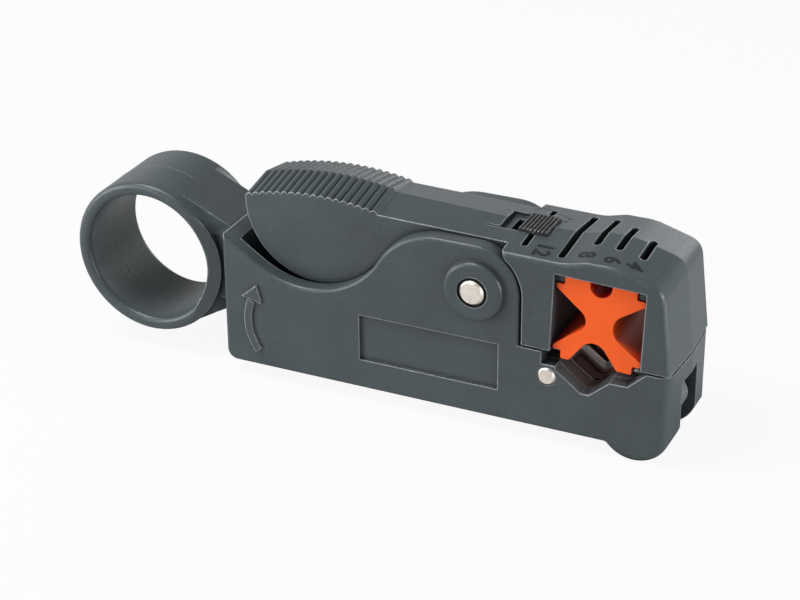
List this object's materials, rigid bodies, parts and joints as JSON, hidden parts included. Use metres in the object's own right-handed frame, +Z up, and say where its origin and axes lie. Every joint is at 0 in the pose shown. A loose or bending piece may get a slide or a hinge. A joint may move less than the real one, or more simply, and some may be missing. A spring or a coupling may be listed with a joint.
{
  "type": "coaxial cable stripper",
  "caption": "Hand-held rotary coaxial cable stripper with a finger ring, a sprung thumb lever, V-edged blades and a turnable orange cable block.",
  "frame": {"origin": "centre of the tool's outline seen from above, at the height of the toe's lowest line", "axes": "+X from the finger ring to the jaws, +Y to the far side, away from the arrow, +Z up towards the thumb pad"},
  "size_m": [0.1044, 0.022, 0.0344],
  "materials": {
    "moulding": "fine satin grain",
    "block": "satin",
    "slide": "satin",
    "pin_steel": "nickel plated, satin",
    "blade_steel": "ground",
    "spring_steel": "drawn wire",
    "screw_steel": "blackened"
  },
  "bodies": {
    "body": {"body_frame": "moulding", "pivot_pin": "pin_steel", "cassette_pin": "pin_steel", "blade_cassette": "slide", "cassette_screw": "screw_steel", "blade_spacers": "blade_steel", "return_spring": "spring_steel"},
    "jaw": {"jaw_lever": "moulding", "block_spring": "spring_steel"},
    "block": {"v_block": "block"},
    "slide": {"gauge_slide": "slide", "slide_clip": "spring_steel"},
    "blade_1": {"blade_1": "blade_steel"},
    "blade_2": {"blade_2": "blade_steel"},
    "blade_3": {"blade_3": "blade_steel"},
    "depth_screw_1": {"depth_screw_1": "screw_steel"},
    "depth_screw_2": {"depth_screw_2": "screw_steel"},
    "depth_screw_3": {"depth_screw_3": "screw_steel"}
  },
  "joints": [
    {"name": "jaw_hinge", "type": "hinge", "parent": "body", "child": "jaw", "pos_m": [0.0202, 0, 0.0238], "axis": [0, -1, 0], "range_deg": [0, 16], "stiffness_Nm_per_rad": 0.28, "springref_deg": -17.19, "deforming": ["return_spring"]},
    {"name": "block_slide", "type": "slide", "parent": "jaw", "child": "block", "axis": [0, -1, 0], "range_m": [0, 0.0185]},
    {"name": "slide_travel", "type": "slide", "parent": "jaw", "child": "slide", "axis": [-1, 0, 0], "range_m": [0, 0.0028]},
    {"name": "depth_screw_1_turn", "type": "hinge", "parent": "body", "child": "depth_screw_1", "pos_m": [0.0457, -0.004, 0], "axis": [0, 0, 1], "range_deg": [0, 720]},
    {"name": "depth_screw_2_turn", "type": "hinge", "parent": "body", "child": "depth_screw_2", "pos_m": [0.0457, 0, 0], "axis": [0, 0, 1], "range_deg": [0, 720]},
    {"name": "depth_screw_3_turn", "type": "hinge", "parent": "body", "child": "depth_screw_3", "pos_m": [0.0457, 0.004, 0], "axis": [0, 0, 1], "range_deg": [0, 720]},
    {"name": "blade_1_lift", "type": "hinge", "parent": "body", "child": "blade_1", "pos_m": [0.0322, -0.004, 0.0115], "axis": [0, -1, 0], "range_deg": [0, 4]},
    {"name": "blade_2_lift", "type": "hinge", "parent": "body", "child": "blade_2", "pos_m": [0.0322, 0, 0.0115], "axis": [0, -1, 0], "range_deg": [0, 4]},
    {"name": "blade_3_lift", "type": "hinge", "parent": "body", "child": "blade_3", "pos_m": [0.0322, 0.004, 0.0115], "axis": [0, -1, 0], "range_deg": [0, 4]}
  ],
  "couplings": [
    {"joint": "blade_1_lift", "follows": "depth_screw_1_turn", "ratio": 0.005305},
    {"joint": "blade_2_lift", "follows": "depth_screw_2_turn", "ratio": 0.005305},
    {"joint": "blade_3_lift", "follows": "depth_screw_3_turn", "ratio": 0.005305}
  ]
}
